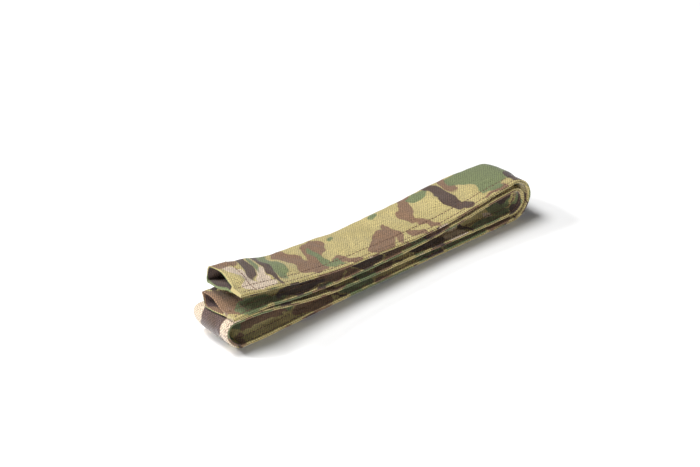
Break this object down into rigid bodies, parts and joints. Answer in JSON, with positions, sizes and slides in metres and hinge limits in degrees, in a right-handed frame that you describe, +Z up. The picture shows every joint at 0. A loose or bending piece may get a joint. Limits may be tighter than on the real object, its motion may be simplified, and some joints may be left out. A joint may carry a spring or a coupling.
{
  "type": "tourniquet band sleeve",
  "caption": "Folded camouflage fabric sleeve of a tourniquet band: a sewn flat tube, open at both ends, laid in long runs that unfold.",
  "frame": {"origin": "middle of the folded sleeve at the level it rests on, centred along its length and across its width", "axes": "+X along the runs towards the double loop, +Y from the sewn edge to the folded edge, +Z up"},
  "size_m": [0.2923, 0.041, 0.0498],
  "materials": {
    "camouflage_face": "matte",
    "camouflage_back": "matte",
    "turned_hem": "matte",
    "thread": "satin"
  },
  "bodies": {
    "base": {"bottom_run_face": "camouflage_face", "bottom_run_back": "camouflage_back", "bottom_run_thread": "thread", "left_loop_face": "camouflage_face", "left_loop_back": "camouflage_back", "left_loop_thread": "thread", "third_run_face": "camouflage_face", "third_run_back": "camouflage_back", "third_run_thread": "thread", "outer_loop_1_face": "camouflage_face", "outer_loop_1_back": "camouflage_back", "outer_loop_1_thread": "thread", "outer_loop_2_face": "camouflage_face", "outer_loop_2_back": "camouflage_back", "outer_loop_2_thread": "thread", "inner_loop_1_face": "camouflage_face", "inner_loop_1_back": "camouflage_back", "inner_loop_1_thread": "thread", "inner_loop_2_face": "camouflage_face", "inner_loop_2_back": "camouflage_back", "inner_loop_2_thread": "thread"},
    "top_run": {"top_run_face": "camouflage_face", "top_run_back": "camouflage_back", "top_run_thread": "thread", "top_mouth_hem": "turned_hem", "top_mouth_thread": "thread", "outer_loop_3_face": "camouflage_face", "outer_loop_3_back": "camouflage_back", "outer_loop_3_thread": "thread", "outer_loop_4_face": "camouflage_face", "outer_loop_4_back": "camouflage_back", "outer_loop_4_thread": "thread"},
    "second_run": {"second_run_face": "camouflage_face", "second_run_back": "camouflage_back", "second_run_thread": "thread", "second_mouth_hem": "turned_hem", "second_mouth_thread": "thread", "inner_loop_3_face": "camouflage_face", "inner_loop_3_back": "camouflage_back", "inner_loop_3_thread": "thread", "inner_loop_4_face": "camouflage_face", "inner_loop_4_back": "camouflage_back", "inner_loop_4_thread": "thread"}
  },
  "joints": [
    {"name": "outer_fold", "type": "hinge", "parent": "base", "child": "top_run", "pos_m": [0.1412, 0, 0.0178], "axis": [0, 1, 0], "range_deg": [0, 175], "deforming": ["outer_loop_1_face", "outer_loop_1_back", "outer_loop_1_thread", "outer_loop_2_face", "outer_loop_2_back", "outer_loop_2_thread", "outer_loop_3_face", "outer_loop_3_back", "outer_loop_3_thread", "outer_loop_4_face", "outer_loop_4_back", "outer_loop_4_thread"]},
    {"name": "inner_fold", "type": "hinge", "parent": "base", "child": "second_run", "pos_m": [0.1412, 0, 0.0178], "axis": [0, 1, 0], "range_deg": [0, 175], "deforming": ["inner_loop_1_face", "inner_loop_1_back", "inner_loop_1_thread", "inner_loop_2_face", "inner_loop_2_back", "inner_loop_2_thread", "inner_loop_3_face", "inner_loop_3_back", "inner_loop_3_thread", "inner_loop_4_face", "inner_loop_4_back", "inner_loop_4_thread"]}
  ],
  "couplings": [
    {"joint": "inner_fold", "follows": "outer_fold", "ratio": 1}
  ]
}
